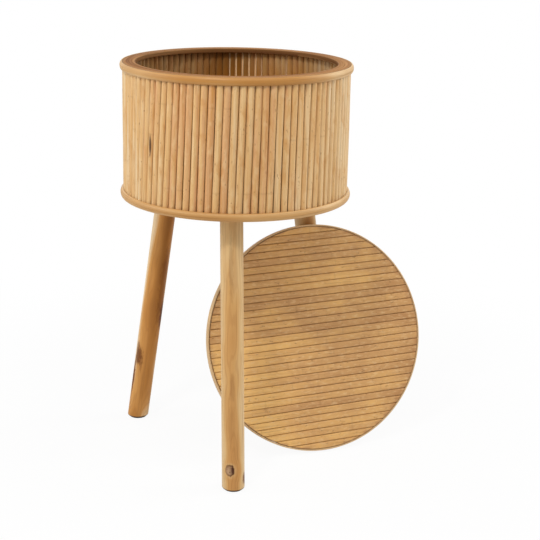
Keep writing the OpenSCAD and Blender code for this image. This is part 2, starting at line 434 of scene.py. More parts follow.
def grain(tree, at, fine, along, broad):
    """Long fibres along Z, as fine streaks and as broad bands, each between 0 and 1."""
    streaks = noise(tree, at, fine, along, 4.0, 0.62, 0.15)
    bands = noise(tree, at, broad, along * 0.35, 3.0, 0.5, 0.35)
    return streaks, bands


# The wall's materials

PALE_STRAW = (0.750, 0.575, 0.350)
STRAW = (0.735, 0.510, 0.265)
HONEY = (0.665, 0.400, 0.158)
PINK_TAN = (0.640, 0.352, 0.155)
ORANGE_TAN = (0.545, 0.250, 0.062)
STICK_TONES = [(0.0, ORANGE_TAN), (0.25, PINK_TAN), (0.50, HONEY), (0.80, STRAW), (1.0, PALE_STRAW)]
GROOVE_BROWN = (0.250, 0.100, 0.025)
CREASE_SHADE_BROWN = (0.110, 0.045, 0.014)
SPLIT_SHADE_BROWN = (0.075, 0.030, 0.010)
INSIDE_SHADE_BROWN = (0.130, 0.046, 0.006)
INSIDE_LIGHT_AMBER = (0.400, 0.150, 0.012)
PAINTED_GLOW_STRAW = (1.000, 0.760, 0.480)


def stick_wood():
    """Peeled sticks: each has its own tone, with long fibres, faint nodes and small flecks, painted shade
    in the creases between them, and painted shade and light on their inner side.
    """
    material, tree, shader = started("stick_wood")
    at = here(tree)
    streaks, bands = grain(tree, at, fine=700, along=16, broad=160)
    tone = plus(tree, attribute(tree, "stick_tone"), swing(tree, bands, 1.4))
    colour = tones(tree, tone, STICK_TONES)
    colour = painted(tree, colour, GROOVE_BROWN, streaks, low=0.53, high=0.72, most=0.46)
    cloud = noise(tree, at, across=75, along=26, distortion=0.4)
    colour = painted(tree, colour, ORANGE_TAN, cloud, low=0.51, high=0.71, most=0.54)
    pale = noise(tree, at, across=120, along=50, detail=2.0)
    colour = painted(tree, colour, STRAW, pale, low=0.51, high=0.71, most=0.43)
    node_line = times(tree, attribute(tree, "stick_node"), 0.19)
    colour = mixed(tree, node_line, colour, GROOVE_BROWN)
    flecks = noise(tree, at, across=420, along=150, detail=2.0, roughness=0.5)
    colour = painted(tree, colour, GROOVE_BROWN, flecks, low=0.665, high=0.75, most=0.7)
    side = attribute(tree, "stick_side")
    # Painted shade: a dark line down each stick's sides, where it meets its neighbours
    crease_shaded = painted(tree, colour, CREASE_SHADE_BROWN, side, low=0.90, high=1.0, most=0.70)
    inward = inner_side(tree)
    # The sticks' inner side takes painted shade and painted light in place of the crease line
    colour = with_split(tree, mixed(tree, inward, crease_shaded, painted_inside_shade(tree, colour)))
    sheen = spread(tree, inward, 0, 1, SHEEN, INSIDE_SHEEN)
    tree.links.new(sheen, shader.inputs["Specular IOR Level"])
    ended(tree, shader, colour, streaks, roughness=(0.42, 0.60), strength=0.25, depth=0.4 * MM)
    return material


# A short split in the wall, at the front left, its dark painted as shade
SPLIT_TURN = math.radians(-136.5)
SPLIT_R = 165.8 * MM
SPLIT_Z = 491.4 * MM
SPLIT_DEEP, SPLIT_WIDE, SPLIT_LONG = 12 * MM, 2.0 * MM, 17 * MM


def with_split(tree, colour):
    """Paints a thin dark slit along the stick: painted shade where the stick is split."""
    middle = Matrix.Translation(AXIS + polar(SPLIT_TURN, SPLIT_R, SPLIT_Z))
    turn = Matrix.Rotation(SPLIT_TURN, 4, "Z") @ Matrix.Rotation(-0.5 * LEAN_AT_LEFT, 4, "X")
    at = here(tree, middle @ turn)
    near = scaled(tree, at, (1 / SPLIT_DEEP, 1 / SPLIT_WIDE, 1 / SPLIT_LONG))
    return painted(tree, colour, SPLIT_SHADE_BROWN, reach(tree, "LENGTH", near), low=1.2, high=0.4)


def inner_side(tree):
    """The half of the sticks that looks into the drum."""
    out = level_reach(tree, way(tree, "SUBTRACT", here(tree), AXIS))
    return spread(tree, out, STICK_CIRCLE_R + 1 * MM, STICK_CIRCLE_R - 1 * MM)


def painted_inside_shade(tree, inner):
    """Painted shade on the sticks' inner side, darkest in the middle and lighter towards each stick's
    edges, with painted amber light low down from the middle rightwards, and a painted glow along the slim
    sticks' edges where light comes through.
    """
    apart = way(tree, "SUBTRACT", here(tree), AXIS)
    across = part_of(tree, apart, "X")
    left = spread(tree, across, -60 * MM, -20 * MM, 0.62, 0.92)
    right = spread(tree, across, 0, 60 * MM, 1.0, 0.38)
    side = attribute(tree, "stick_side")
    crown = spread(tree, side, 0.95, 0.30, 0.80, 1.0)
    brown = mixed(tree, times(tree, times(tree, left, right), crown), inner, INSIDE_SHADE_BROWN)
    up = part_of(tree, apart, "Z")
    # Painted light: a warm amber pool low down, from the middle to the right
    light_lower_down = spread(tree, up, TOP_Z - 10 * MM, TOP_Z - 55 * MM, 0.12, 0.55)
    from_left = spread(tree, across, -80 * MM, -10 * MM)
    brown = mixed(tree, times(tree, light_lower_down, from_left), brown, INSIDE_LIGHT_AMBER)
    # Painted glow along the edges of the slim sticks, where light comes through between them
    glow = times(tree, attribute(tree, "stick_slim"), spread(tree, side, 0.70, 0.84))
    return mixed(tree, glow, brown, PAINTED_GLOW_STRAW)


# The bent strips' and the cap ring's materials

HOOP_TONES = [(0.32, (0.410, 0.195, 0.055)), (0.47, (0.560, 0.318, 0.118)), (0.62, (0.690, 0.465, 0.225))]
FRONT_SHADE_AMBER = (0.410, 0.158, 0.014)
HOOP_FIBRE = (0.270, 0.115, 0.030)
RING_TONES = [(0.30, (0.170, 0.060, 0.014)), (0.48, (0.310, 0.134, 0.038)), (0.68, (0.470, 0.235, 0.082))]
RING_FIBRE = (0.090, 0.036, 0.013)
RING_EDGE = (0.500, 0.290, 0.140)
RING_SHADE_BROWN = (0.085, 0.034, 0.012)


def hoop_wood(name, middle, radius, joint_turn, front_shade, pale):
    """Bent half-round strips: yellow honey with fibres that run round from joint to joint, and painted
    shade in a deeper amber over the front stretch.
    """
    material, tree, shader = started(name)
    at = bent(tree, here(tree, middle @ turned_to(joint_turn)), radius)
    streaks, bands = grain(tree, at, fine=620, along=9, broad=130)
    cloud = noise(tree, at, across=14, along=7, detail=2.0, roughness=0.5, distortion=0.3)
    tone = plus(tree, times(tree, bands, 0.5), times(tree, cloud, 0.5))
    colour = mixed(tree, pale, tones(tree, tone, HOOP_TONES), PALE_STRAW)
    forward = part_of(tree, here(tree, middle), "Y")
    # Painted shade: the strip turns a deeper amber over its front stretch
    colour = painted(tree, colour, FRONT_SHADE_AMBER, forward, -radius * 0.60, -radius * 0.97, front_shade)
    colour = painted(tree, colour, HOOP_FIBRE, streaks, low=0.50, high=0.70, most=0.50)
    flecks = noise(tree, at, across=380, along=120, detail=2.0, roughness=0.5)
    colour = painted(tree, colour, GROOVE_BROWN, flecks, low=0.72, high=0.80, most=0.5)
    ended(tree, shader, colour, streaks, roughness=(0.38, 0.56), strength=0.2, depth=0.4 * MM)
    return material


def ring_wood():
    """The flat cap ring: reddish brown, paler at its outer edge, with painted shade along its seam with
    the rim strip and along its lip at the mouth.
    """
    material, tree, shader = started("ring_wood", RING_SHEEN)
    at = bent(tree, here(tree, Matrix.Translation(AXIS) @ turned_to(RING_JOINT)), WALL_R)
    streaks, bands = grain(tree, at, fine=560, along=8, broad=110)
    colour = tones(tree, bands, RING_TONES)
    colour = painted(tree, colour, RING_FIBRE, streaks, low=0.50, high=0.70, most=0.65)
    out = part_of(tree, at, "X")
    colour = painted(tree, colour, RING_EDGE, out, low=WALL_R - 5 * MM, high=WALL_R, most=0.45)
    # Painted shade along the seam with the rim strip and along the lip at the mouth
    seam_shade = growing(tree, out, low=WALL_R - 1.2 * MM, high=WALL_R - 0.3 * MM, most=0.7)
    lip_shade = growing(tree, out, low=MOUTH_R + 2.5 * MM, high=MOUTH_R, most=0.6)
    colour = mixed(tree, calc(tree, "MAXIMUM", seam_shade, lip_shade), colour, RING_SHADE_BROWN)
    ended(tree, shader, colour, streaks, roughness=(0.55, 0.72), strength=0.22, depth=0.4 * MM)
    return material


# The legs' materials

LATE_WOOD = (0.360, 0.150, 0.040)
LEG_FIBRE = (0.310, 0.135, 0.040)
FOOT_SHADE = (0.070, 0.038, 0.024)
STAIN_BROWN = (0.130, 0.034, 0.005)
KNOT_HALO = (0.660, 0.440, 0.210)
KNOT_GREY = (0.230, 0.120, 0.060)
KNOT_TAN = (0.420, 0.260, 0.150)
KNOT_BROWN = (0.062, 0.016, 0.005)
# The year rings across a metre of wood, in radians
YEAR_RINGS = 2600


def leg_wood(name, place_of_leg, heart, own_tones, knots, stains):
    """A turned pole: an orange heart streak between pale sapwood, with knots where they are given."""
    material, tree, shader = started(name, LEG_SHEEN)
    at = here(tree, place_of_leg)
    flow = at
    for knot in knots:
        flow = round_knot(tree, at, flow, *knot)
    streaks, bands = grain(tree, flow, fine=560, along=7, broad=90)
    wander = noise(tree, flow, across=34, along=7, detail=2.0, roughness=0.5)
    out = level_reach(tree, from_heart(tree, flow, heart))
    rings = plus(tree, out, swing(tree, wander, 22 * MM))
    colour = tones(tree, spread(tree, rings, 1 * MM, 21 * MM), own_tones)
    turns = plus(tree, rings, times(tree, bands, 6 * MM))
    year = calc(tree, "SINE", times(tree, turns, YEAR_RINGS))
    colour = painted(tree, colour, LATE_WOOD, year, low=0.1, high=1.0, most=0.22)
    colour = painted(tree, colour, LEG_FIBRE, streaks, low=0.50, high=0.72, most=0.40)
    up = part_of(tree, here(tree), "Z")
    colour = painted(tree, colour, FOOT_SHADE, up, PAD_T + 2.6 * MM, PAD_T + 1.5 * MM, most=0.85)
    for stain in stains:
        colour = with_stain(tree, at, colour, *stain)
    for knot in knots:
        colour = with_knot(tree, at, colour, *knot)
    ended(tree, shader, colour, streaks, roughness=(0.40, 0.58), strength=0.22, depth=0.5 * MM)
    return material


def from_heart(tree, at, heart):
    """Places from the wood's heart, a line from a spot at the foot to one at the seat."""
    foot, seat = heart
    line = (seat - foot).to_track_quat("Z", "Y").to_matrix().to_4x4()
    return framed(tree, at, Matrix.Translation(foot) @ line)


def from_knot(tree, at, turn, height, long):
    """The way from a knot's middle on the leg's side, and its length, shortened along the grain."""
    apart = way(tree, "SUBTRACT", at, polar(turn, LEG_R, height))
    return apart, reach(tree, "LENGTH", scaled(tree, apart, (1, 1, 1 / long)))


def round_knot(tree, at, flow, turn, height, size, long):
    """Leads the fibres round a knot."""
    apart, out = from_knot(tree, at, turn, height, long)
    push = spread(tree, out, 3.6 * size, 0.54 * size, 0.0, -0.55)
    level = scaled(tree, apart, (1, 1, 0))
    aside = add(tree, "VectorMath", {"operation": "SCALE"}, {0: level, "Scale": push})
    return way(tree, "ADD", flow, aside.outputs["Vector"])


def with_knot(tree, at, colour, turn, height, size, long):
    """Paints a knot: a grey brown middle, dark red brown at its right, dark rimmed, in a pale ring."""
    apart, out = from_knot(tree, at, turn, height, long)
    ragged = noise(tree, at, across=190, along=120)
    far = plus(tree, calc(tree, "DIVIDE", out, size), swing(tree, ragged, 1.0))
    colour = painted(tree, colour, KNOT_HALO, far, low=2.0, high=1.1, most=0.35)
    core = painted(tree, KNOT_GREY, KNOT_TAN, ragged, low=0.35, high=0.62)
    colour = painted(tree, colour, core, far, low=1.05, high=0.85, most=0.90)
    rightwards = Vector((-math.sin(turn), math.cos(turn), 0.1))
    side = reach(tree, "DOT_PRODUCT", apart, rightwards)
    frayed = plus(tree, side, swing(tree, ragged, 2.4 * size))
    right_half = growing(tree, frayed, low=0.1 * size, high=0.6 * size, most=0.97)
    dark = times(tree, spread(tree, far, 1.10, 0.90), right_half)
    off = calc(tree, "ABSOLUTE", calc(tree, "SUBTRACT", far, 1.0))
    rim = times(tree, spread(tree, off, 0.26, 0.04), spread(tree, side, -size, size, 0.40, 0.95))
    return mixed(tree, calc(tree, "MAXIMUM", dark, rim), colour, KNOT_BROWN)


def with_stain(tree, at, colour, turn, height, size, long, depth):
    """Paints a soft ragged dark patch without an outline."""
    out = from_knot(tree, at, turn, height, long)[1]
    ragged = noise(tree, at, across=420, along=110, detail=4.0, roughness=0.7)
    far = plus(tree, calc(tree, "DIVIDE", out, size), swing(tree, ragged, 2.0))
    return painted(tree, colour, STAIN_BROWN, far, low=1.4, high=0.5, most=depth)


# The lid's materials, the pads' and the fixings'

SLAT_TONES = [(0.0, (0.440, 0.220, 0.080)), (0.4, (0.550, 0.300, 0.112)),
              (0.7, (0.660, 0.372, 0.126)), (1.0, (0.800, 0.478, 0.158))]
SLAT_FIBRE = (0.240, 0.110, 0.036)
SLAT_FLECK = (0.200, 0.090, 0.030)
SLAT_FLANK_SHADE = (0.230, 0.092, 0.022)
SLAT_END_SHADE = (0.150, 0.068, 0.020)
PLY_TONES = [(0.30, (0.470, 0.290, 0.135)), (0.50, (0.560, 0.370, 0.190)), (0.72, (0.640, 0.450, 0.250))]
PLY_FIBRE = (0.330, 0.180, 0.075)
PLY_DARK_LAYER = (0.250, 0.130, 0.055)
PLY_PAIR_T = 3 * MM
RUBBER_BLACK = (0.022, 0.020, 0.018)
RUBBER_DUST = (0.060, 0.055, 0.048)
ZINC_PALE = (0.560, 0.570, 0.585)
ZINC_DULL = (0.400, 0.405, 0.415)


def slat_wood():
    """Half-round lid slats: brown tan, blotchy, with dark cross nodes here and there, painted light at the
    lower left, and painted shade at the right, along the flanks and at the ends.
    """
    material, tree, shader = started("slat_wood")
    on_lid = here(tree, LID_PLACE)
    at = along_x(tree, on_lid)
    streaks, bands = grain(tree, at, fine=600, along=14, broad=150)
    cloud = noise(tree, at, across=17, along=17, detail=4.0, distortion=0.4)
    across = part_of(tree, on_lid, "X")
    # Painted light at the lid's lower left, and painted shade towards its right
    left = spread(tree, across, -LID_R, 0, 0.55, 0.0)
    light_lower_down = spread(tree, part_of(tree, on_lid, "Y"), 0.25 * LID_R, -0.1 * LID_R)
    shade_at_right = spread(tree, across, 0.3 * LID_R, LID_R, 0.0, -0.15)
    mood = plus(tree, attribute(tree, "slat_tone"), swing(tree, cloud, 1.1))
    mood = plus(tree, mood, plus(tree, times(tree, left, light_lower_down), shade_at_right))
    colour = tones(tree, plus(tree, mood, swing(tree, bands, 0.5)), SLAT_TONES)
    colour = painted(tree, colour, SLAT_FIBRE, streaks, low=0.50, high=0.74, most=0.42)
    colour = mixed(tree, times(tree, attribute(tree, "slat_node"), 0.16), colour, SLAT_FLECK)
    flecks = noise(tree, at, across=330, along=140, detail=2.0, roughness=0.5)
    colour = painted(tree, colour, SLAT_FLECK, flecks, low=0.64, high=0.76, most=0.6)
    pale = noise(tree, at, across=300, along=110)
    colour = painted(tree, colour, STRAW, pale, low=0.50, high=0.68, most=0.40)
    # Painted shade along each slat's flanks, in the grooves between slats
    flank_shade = attribute(tree, "slat_side")
    colour = painted(tree, colour, SLAT_FLANK_SHADE, flank_shade, low=0.66, high=1.0, most=0.22)
    # Painted shade at the slats' ends, next to the edge strip
    out = level_reach(tree, on_lid)
    colour = painted(tree, colour, SLAT_END_SHADE, out, SLATS_R - 1.8 * MM, SLATS_R - 0.4 * MM, most=0.65)
    ended(tree, shader, colour, streaks, roughness=(0.42, 0.60), strength=0.25, depth=0.4 * MM)
    return material


def ply_wood(name, middle):
    """Plywood: a pale face veneer, and dark and light layers on the edge."""
    material, tree, shader = started(name)
    at = here(tree, middle)
    streaks, bands = grain(tree, along_x(tree, at), fine=300, along=5, broad=34)
    colour = tones(tree, bands, PLY_TONES)
    colour = painted(tree, colour, PLY_FIBRE, streaks, low=0.52, high=0.74, most=0.35)
    layer = calc(tree, "SINE", times(tree, part_of(tree, at, "Z"), 2 * math.pi / PLY_PAIR_T))
    facing = add(tree, "NewGeometry").outputs["Normal"]
    upward = middle.to_3x3() @ Vector((0, 0, 1))
    flat = calc(tree, "ABSOLUTE", reach(tree, "DOT_PRODUCT", facing, upward))
    edge = spread(tree, flat, 0.7, 0.3)
    dark_layer = times(tree, times(tree, edge, spread(tree, layer, -0.2, 0.2)), 0.6)
    colour = mixed(tree, dark_layer, colour, PLY_DARK_LAYER)
    ended(tree, shader, colour, streaks, roughness=(0.55, 0.70), strength=0.2, depth=0.4 * MM)
    return material


def foot_rubber():
    """Dark rubber pads with a fine matt grain."""
    material, tree, shader = started("foot_rubber")
    at = here(tree)
    speckle = noise(tree, at, across=1400, along=1400)
    dust = noise(tree, at, across=160, along=160)
    colour = painted(tree, RUBBER_BLACK, RUBBER_DUST, dust, low=0.45, high=0.75)
    ended(tree, shader, colour, speckle, roughness=(0.72, 0.90), strength=0.35, depth=0.2 * MM)
    return material


def fixing_steel():
    """Zinc-plated fixings: grey, lightly brushed, with duller spots."""
    material, tree, shader = started("fixing_steel", STEEL_SHEEN)
    at = here(tree)
    brush = noise(tree, at, across=900, along=2600)
    spots = noise(tree, at, across=240, along=240)
    colour = painted(tree, ZINC_PALE, ZINC_DULL, spots, low=0.40, high=0.70)
    shader.inputs["Metallic"].default_value = 1.0
    ended(tree, shader, colour, brush, roughness=(0.26, 0.46), strength=0.15, depth=0.1 * MM)
    return material


# The drum

def strip_profile(middle_r, edge_r, low, high):
    """The half-round section of a hoop: an ellipse with its inner side cut flat at the wall."""
    half_tall = (high - low) / 2
    at = AXIS + Vector((middle_r, 0, (low + high) / 2))
    piece = begin(bpy.ops.mesh.primitive_circle_add, vertices=40, radius=half_tall, fill_type="NGON",
                  location=at, rotation=(math.pi / 2, 0, 0))
    bpy.ops.transform.resize(value=((edge_r - middle_r) / half_tall, 1, 1), center_override=at)
    bpy.ops.mesh.bisect(plane_co=AXIS + Vector((WALL_R + SEAT_GAP, 0, 0)), plane_no=(1, 0, 0),
                        use_fill=False, clear_inner=True)
    return piece


def spun_hoop(name, node, swell_r, joint_turn):
    """A hoop bent round from its section to a fine butt joint."""
    low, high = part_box(node)
    piece = strip_profile(swell_r, (high.x - low.x) / 2, low.z, high.z)
    spun(AXIS, BENT_TURN)
    close(piece, name, 50)
    turn = Matrix.Translation(AXIS) @ Matrix.Rotation(math.radians(joint_turn), 4, "Z")
    return place(piece, turn @ Matrix.Translation(-AXIS))


def cap_ring():
    """The flat ring on the sticks' ends, eased along its edges, most of all at the mouth."""
    at = AXIS + Vector(((WALL_R + MOUTH_R) / 2, 0, (RING_Z + TOP_Z) / 2))
    piece = oblong(at, WALL_R - MOUTH_R, TOP_Z - RING_Z)
    pick(piece, "VERT", lambda p: p.x < at.x and p.z > at.z)
    bpy.ops.mesh.bevel(offset=1 * MM, segments=4, affect="VERTICES")
    pick(piece, "VERT", lambda p: p.x > at.x or (p.x < at.x and p.z < at.z - 2 * MM))
    bpy.ops.mesh.bevel(offset=0.5 * MM, segments=2, affect="VERTICES")
    bpy.ops.mesh.select_all(action="SELECT")
    bpy.ops.mesh.delete(type="ONLY_FACE")
    spun(AXIS, 360)
    bpy.ops.mesh.select_all(action="SELECT")
    bpy.ops.mesh.remove_doubles(threshold=0.01 * MM)
    return close(piece, "cap_ring", 35)


STICK_SIDES = 16
STICK_STEPS = 24
STICK_MASTERS = 8
STICK_SWAY = 0.20 * MM
NODE_SWELL = 0.010


def stick(number):
    """A stick grown from its foot upwards, section by section, a little uneven, with its nodes."""
    luck = random.Random(100 + number)
    tall = RING_Z - FLOOR_Z
    nodes = [luck.uniform(0.15, 0.85) * tall for _ in range(luck.choice((0, 0, 1, 1)))]
    levels = sections(0, tall, STICK_STEPS, nodes, beside=2.2 * MM)
    phase = [luck.uniform(0, 2 * math.pi) for _ in range(3)]

    def thickness(z):
        return 0.994 + 0.008 * math.sin(z * 34 + phase[0]) + NODE_SWELL * nearness(z, nodes, 2.5 * MM)

    def sway(z):
        return Vector((math.sin(z * 29 + phase[1]), math.sin(z * 23 + phase[2]), 0)) * STICK_SWAY

    centre = Vector((0, 0, FLOOR_Z)) + sway(0)
    piece = begin(bpy.ops.mesh.primitive_circle_add, vertices=STICK_SIDES, radius=STICK_R * thickness(0),
                  fill_type="NGON", location=centre)
    for low, high in zip(levels, levels[1:]):
        rise = Vector((0, 0, high - low)) + sway(high) - sway(low)
        bpy.ops.mesh.extrude_region_move(TRANSFORM_OT_translate={"value": rise})
        centre += rise
        grow = thickness(high) / thickness(low)
        bpy.ops.transform.resize(value=(grow, grow, 1), center_override=centre)
    close(piece, "stick", 60)
    note(piece, "stick_node", lambda p: nearness(p.z - FLOOR_Z, nodes, 1.2 * MM))
    return piece


# Widths of some sticks of the back wall, counted from the front: light shows by the slim ones
OWN_WIDTHS = {38: 1.06, 39: 1.018, 40: 0.965, 41: 1.06, 42: 1.050,
              43: 1.018, 44: 1.010, 45: 1.010, 46: 1.012, 47: 1.014, 48: 1.016, 49: 1.045,
              50: 1.040, 51: 1.040, 52: 1.040, 53: 1.040}
SLIM_BELOW = 1.017
USUAL_WIDTHS = (1.018, 1.036)
STICK_TONE, STICK_SCATTER = 0.37, 0.10
# How far the sticks' tops stand to the right of their feet, as a share of their height
LEAN_IN_FRONT = 0.014
LEAN_AT_LEFT = 0.052
LEAN_SCATTER = 0.003
LEFT_TURN = math.radians(-148)
LEFT_REACH = math.radians(47)


def lean_of_wall(turn):
    """The wall is a little twisted: upright at the back, leaning in front, most of all at the left."""
    off = (turn - LEFT_TURN + math.pi) % (2 * math.pi) - math.pi
    forward = 0.5 - 0.5 * math.sin(turn)
    return LEAN_IN_FRONT * forward + LEAN_AT_LEFT * math.exp(-(off / LEFT_REACH) ** 2)


def stick_place(turn, lean):
    """A stick's place in the wall, tilted round its own middle along the wall."""
    out = polar(turn)
    middle = Matrix.Translation((0, 0, STICK_MID_Z))
    tilt = middle @ Matrix.Rotation(-math.atan(lean), 4, out) @ middle.inverted()
    return Matrix.Translation(AXIS + out * STICK_CIRCLE_R) @ tilt


def painted_side_light(turn):
    """Painted light: the sticks' tone is made paler towards the wall's left and right than in front, and
    at its front right.
    """
    to_right = math.cos(turn)
    at_both_sides = (0.32 - 0.08 * to_right) * to_right ** 4
    at_front_right = 0.80 * max(0.0, to_right) ** 2 * abs(math.sin(turn))
    return at_both_sides + at_front_right


def wall(material):
    """All the sticks of the wall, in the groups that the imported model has."""
    masters = [stick(number) for number in range(STICK_MASTERS)]
    luck = random.Random(7)
    for group in range(STICK_GROUPS):
        parts = []
        for number in numbers_in(group, STICK_GROUPS, STICK_COUNT):
            turn = math.radians(FRONT + (number + 0.5) * 360 / STICK_COUNT)
            own = number in OWN_WIDTHS
            width = OWN_WIDTHS.get(number, luck.uniform(*USUAL_WIDTHS))
            # Each stick's own tone, with painted light added towards the wall's sides
            tone = chosen_tone(luck, STICK_TONE, STICK_SCATTER, painted_side_light(turn))
            spin = luck.uniform(0, 2 * math.pi)
            chance = luck.gauss(0, LEAN_SCATTER)
            master = luck.randrange(STICK_MASTERS)
            own_turn = Matrix.Rotation(0 if own else spin, 4, "Z") @ Matrix.Diagonal((width, width, 1, 1))
            lean = lean_of_wall(turn) + (0 if own else chance)
            part = copied(masters[0 if own else master], stick_place(turn, lean) @ own_turn)
            along = Vector((-math.sin(turn), math.cos(turn), 0))
            note(part, "stick_tone", tone)
            note(part, "stick_slim", 1.0 if width < SLIM_BELOW else 0.0)
            note(part, "stick_side", lambda p: abs(
                (p - AXIS).dot(along) - lean * (p.z - STICK_MID_Z)) / STICK_R)
            parts.append(part)
        piece = joined(parts, f"wall_sticks_{group + 1:02d}")
        kept(piece, "table", "rod_wood", material, f"wall_rods_{group + 1:02d}")
    removed(masters)


def build_drum():
    wall(stick_wood())
    kept(cap_ring(), "table", "ring_wood", ring_wood(), "rim_ring")
    middle = Matrix.Translation(AXIS)
    rim_wood = hoop_wood("rim_strip_wood", middle, WALL_R, RIM_JOINT, front_shade=0.65, pale=0.0)
    rim = spun_hoop("rim_strip", "rim_hoop", WALL_R + RIM_SWELL, RIM_JOINT)
    kept(rim, "table", "hoop_wood", rim_wood, "rim_hoop")
    base_wood = hoop_wood("base_strip_wood", middle, WALL_R, BASE_JOINT, front_shade=0.20, pale=0.0)
    base = spun_hoop("base_strip", "base_hoop", WALL_R + BASE_SWELL, BASE_JOINT)
    kept(base, "table", "hoop_wood", base_wood, "base_hoop")
    finish_node("base_board", ply_wood("base_ply", Matrix.Translation((AXIS.x, AXIS.y, BASE_Z))))


# The legs

LEG_STEPS = 14


def leg_place(turn, aside):
    """A leg's own frame: its Z runs up the leg's line from the floor, its X away from the table."""
    foot = AXIS + polar(turn) * LEG_FOOT_R
    side_lean = math.atan(aside * math.cos(SPLAY) / BASE_Z)
    lean = Matrix.Rotation(-SPLAY, 4, "Y") @ Matrix.Rotation(-side_lean, 4, "X")
    return Matrix.Translation(foot) @ Matrix.Rotation(turn, 4, "Z") @ lean


def leg(name, turn, aside):
    """A pole that leans outwards, cut level at both ends and rounded at the foot."""
    step = Vector((-LEG_SLOPE, aside / BASE_Z, 1))
    at = Vector((LEG_FOOT_R, 0, 0)) + step * PAD_T
    piece = begin(bpy.ops.mesh.primitive_circle_add, vertices=56, radius=LEG_R, fill_type="NGON",
                  location=at)
    bpy.ops.transform.resize(value=(1 / math.cos(SPLAY), 1, 1), center_override=at)
    rise = (BASE_Z - PAD_T) / LEG_STEPS
    for _ in range(LEG_STEPS):
        bpy.ops.mesh.extrude_region_move(TRANSFORM_OT_translate={"value": step * rise})
    bpy.ops.mesh.select_all(action="SELECT")
    bpy.ops.mesh.normals_make_consistent(inside=False)
    pick(piece, "EDGE", lambda p: p.z < PAD_T + 0.1 * MM)
    bpy.ops.mesh.bevel(offset=FOOT_ROUND, segments=6, affect="EDGES")
    close(piece, name, 40)
    return place(piece, Matrix.Translation(AXIS) @ Matrix.Rotation(turn, 4, "Z"))


def pad(name, node):
    """A thin round pad, eased along its lower edge."""
    low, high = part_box(node)
    piece = begin(bpy.ops.mesh.primitive_cylinder_add, vertices=48, radius=(high.x - low.x) / 2,
                  depth=high.z - low.z, location=(low + high) / 2)
    pick(piece, "EDGE", lambda p: p.z < low.z + 0.1 * MM)
    bpy.ops.mesh.bevel(offset=0.5 * MM, segments=3, affect="EDGES")
    return close(piece, name, 35)


# Knots as turn in degrees, height and size in mm, and how much longer than wide, in the leg's frame
LEG_KNOTS = {"front": [(-19.3, 30.7, 6.6, 1.1)], "rear_left": [], "rear_right": [(-140, 300, 4.0, 1.5)]}
# Soft dark patches, in the same way, each with its depth of colour
LEG_STAINS = {
    "front": [(74, 16.5, 5.2, 1.7, 0.97), (-4, 320, 3.0, 14, 0.24), (-3, 152, 3.2, 6, 0.22),
              (-12, 96, 4.2, 7, 0.15)],
    "rear_left": [(76, 111, 8.0, 1.9, 0.85), (62, 126, 4.6, 2.2, 0.6), (100, 96, 2.2, 5, 0.35),
                  (52, 74, 3.4, 9, 0.97), (192, 187, 5.6, 4, 0.97), (168, 235, 7.0, 9, 0.45)],
    "rear_right": [(60, 150, 4.4, 1.6, 0.7)]}
# The heart of the wood: its turn and how far from the leg's middle it runs, at the foot and at the seat
HEARTS = {"front": ((-6, 15.5), (-6, 8.0)), "rear_left": ((84, 6.0), (158, 16.5)),
          "rear_right": ((-100, 12.0), (-100, 14.0))}
# The wood's tones from its heart outwards
LEG_TONES = {
    "front": [(0.0, (0.520, 0.256, 0.078)), (0.30, (0.590, 0.327, 0.114)),
              (0.55, (0.650, 0.430, 0.198)), (1.0, (0.700, 0.515, 0.288))],
    "rear_left": [(0.0, (0.330, 0.132, 0.026)), (0.34, (0.490, 0.212, 0.046)),
                  (0.72, (0.620, 0.308, 0.088)), (1.0, (0.850, 0.640, 0.380))],
    "rear_right": [(0.0, (0.380, 0.190, 0.060)), (0.30, (0.480, 0.280, 0.105)),
                   (0.55, (0.560, 0.375, 0.180)), (1.0, (0.620, 0.460, 0.255))]}


def in_metres(marks):
    """Knots or stains with their turn in radians, and their height and size in metres."""
    return [(math.radians(turn), height * MM, size * MM, *rest) for turn, height, size, *rest in marks]


def build_legs(steel):
    rubber = foot_rubber()
    for name, degrees in LEG_TURNS.items():
        turn = math.radians(degrees)
        aside = SEAT_ASIDE[name]
        heart = [polar(math.radians(side), out * MM, height)
                 for (side, out), height in zip(HEARTS[name], (0.0, BASE_Z))]
        wood = leg_wood(f"leg_wood_{name}", leg_place(turn, aside), heart, LEG_TONES[name],
                        in_metres(LEG_KNOTS[name]), in_metres(LEG_STAINS[name]))
        kept(leg(f"pole_{name}", turn, aside), "table", "leg_wood", wood, f"leg_{name}")
        kept(pad(f"pad_{name}", f"foot_pad_{name}"), "table", "foot_rubber", rubber, f"foot_pad_{name}")
    for node in ("leg_bolts", "leg_washers", "leg_inserts"):
        finish_node(node, steel)


# The lid

SLAT_STEPS = 34
SLAT_MASTERS = 5
SLAT_REACH = LID_R + 60 * MM
SLAT_SWAY = 0.03 * MM
SLAT_SHIFT = 50 * MM
SLAT_TONE, SLAT_SCATTER = 0.54, 0.09


